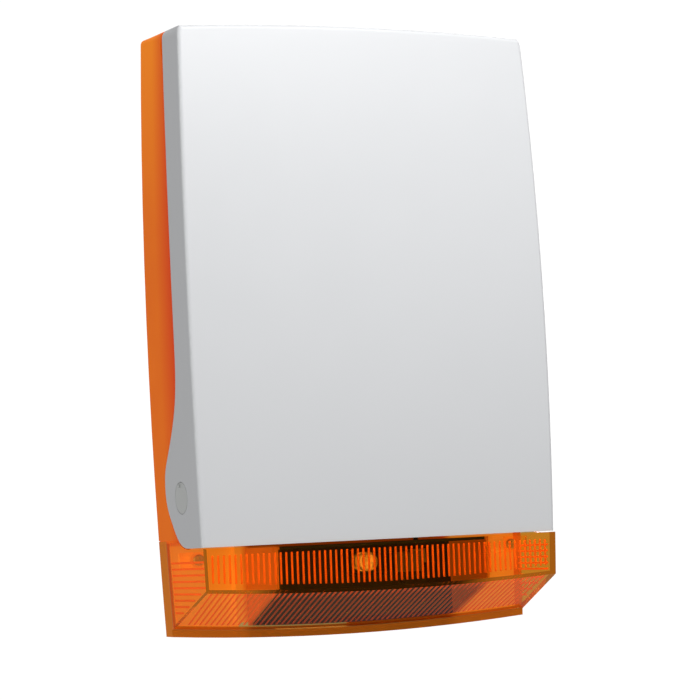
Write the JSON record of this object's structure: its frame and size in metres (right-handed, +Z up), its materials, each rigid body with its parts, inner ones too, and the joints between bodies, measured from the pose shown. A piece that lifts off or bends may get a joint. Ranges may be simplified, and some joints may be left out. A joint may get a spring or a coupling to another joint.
{
  "type": "alarm siren",
  "caption": "Outdoor wall alarm siren with a white hinged cover, orange back housing and a ribbed orange flasher lens below.",
  "frame": {"origin": "on the wall face, at the centre of the four wall screws", "axes": "+Z up, +Y into the wall, +X to the viewer's right, so the front faces -Y"},
  "size_m": [0.1998, 0.0585, 0.3079],
  "materials": {
    "orange_housing": "translucent moulded polycarbonate, satin",
    "orange_lens": "clear polycarbonate, polished",
    "white_shell": "fine satin moulded ABS",
    "zinc_steel": "zinc plated",
    "brass_metal": "plain",
    "galvanised_sheet": "galvanised",
    "battery_case": "moulded ABS",
    "red_plastic": "smooth",
    "black_plastic": "smooth moulded",
    "pale_plastic": "smooth moulded",
    "board_green": "solder mask",
    "terminal_green": "moulded polyamide",
    "relay_case": "smooth",
    "capacitor_sleeve": "shrink sleeve",
    "clear_glass": "clear",
    "heat_sink_metal": "anodised",
    "speaker_metal": "satin black",
    "grey_rubber": "soft",
    "level_liquid": "clear",
    "red_wire": "PVC insulation",
    "black_wire": "PVC insulation"
  },
  "bodies": {
    "housing": {"base_tray": "orange_housing", "lens": "orange_lens", "lens_screws": "zinc_steel", "inner_cover": "galvanised_sheet", "inner_cover_screws": "zinc_steel", "battery": "battery_case", "battery_tab_red": "brass_metal", "battery_tab_black": "brass_metal", "receptacle_red": "red_plastic", "receptacle_black": "black_plastic", "battery_strap": "galvanised_sheet", "circuit_board": "board_green", "board_screws": "zinc_steel", "terminal_block": "terminal_green", "terminal_screws": "zinc_steel", "relay": "relay_case", "control_chips": "black_plastic", "capacitors": "capacitor_sleeve", "fuse": "clear_glass", "fuse_clips": "zinc_steel", "heat_sink": "heat_sink_metal", "jumper_pins": "black_plastic", "status_lamp": "red_plastic", "speaker_socket": "pale_plastic", "horn": "black_plastic", "horn_driver": "speaker_metal", "driver_tabs": "pale_plastic", "horn_screws": "zinc_steel", "flash_housing": "black_plastic", "flash_board": "board_green", "flash_socket": "pale_plastic", "lamp_socket": "black_plastic", "lamp": "clear_glass", "lamp_bracket": "zinc_steel", "tamper_switch": "black_plastic", "tamper_spring": "zinc_steel", "cable_grommet": "grey_rubber", "level_holder": "pale_plastic", "level_vial": "level_liquid", "battery_lead_red": "red_wire", "battery_lead_black": "black_wire", "flash_lead": "black_wire", "speaker_lead": "black_wire"},
    "front_cover": {"front_cover": "white_shell", "hinge_pins": "zinc_steel", "clamp_nuts": "brass_metal"},
    "cap_left": {"screw_cap_left": "white_shell"},
    "cap_right": {"screw_cap_right": "white_shell"},
    "side_screw_left": {"cover_screw_left": "zinc_steel"},
    "side_screw_right": {"cover_screw_right": "zinc_steel"},
    "plunger": {"tamper_plunger": "red_plastic"}
  },
  "joints": [
    {"name": "cover_hinge", "type": "hinge", "parent": "housing", "child": "front_cover", "pos_m": [0, -0.038, 0.142], "axis": [-1, 0, 0], "range_deg": [0, 80]},
    {"name": "cap_left_pull", "type": "slide", "parent": "front_cover", "child": "cap_left", "axis": [-1, 0, 0], "range_m": [0, 0.008]},
    {"name": "cap_right_pull", "type": "slide", "parent": "front_cover", "child": "cap_right", "axis": [1, 0, 0], "range_m": [0, 0.008]},
    {"name": "screw_left_turn", "type": "hinge", "parent": "front_cover", "child": "side_screw_left", "pos_m": [-0.09, -0.0335, -0.0827], "axis": [-1, 0, 0], "range_deg": [0, 540]},
    {"name": "screw_right_turn", "type": "hinge", "parent": "front_cover", "child": "side_screw_right", "pos_m": [0.09, -0.0335, -0.0827], "axis": [1, 0, 0], "range_deg": [0, 540]},
    {"name": "tamper_release", "type": "slide", "parent": "housing", "child": "plunger", "axis": [0, -1, 0], "range_m": [0, 0.004]}
  ],
  "couplings": [
    {"joint": "tamper_release", "follows": "cover_hinge", "m_per_rad": 0.0028}
  ]
}
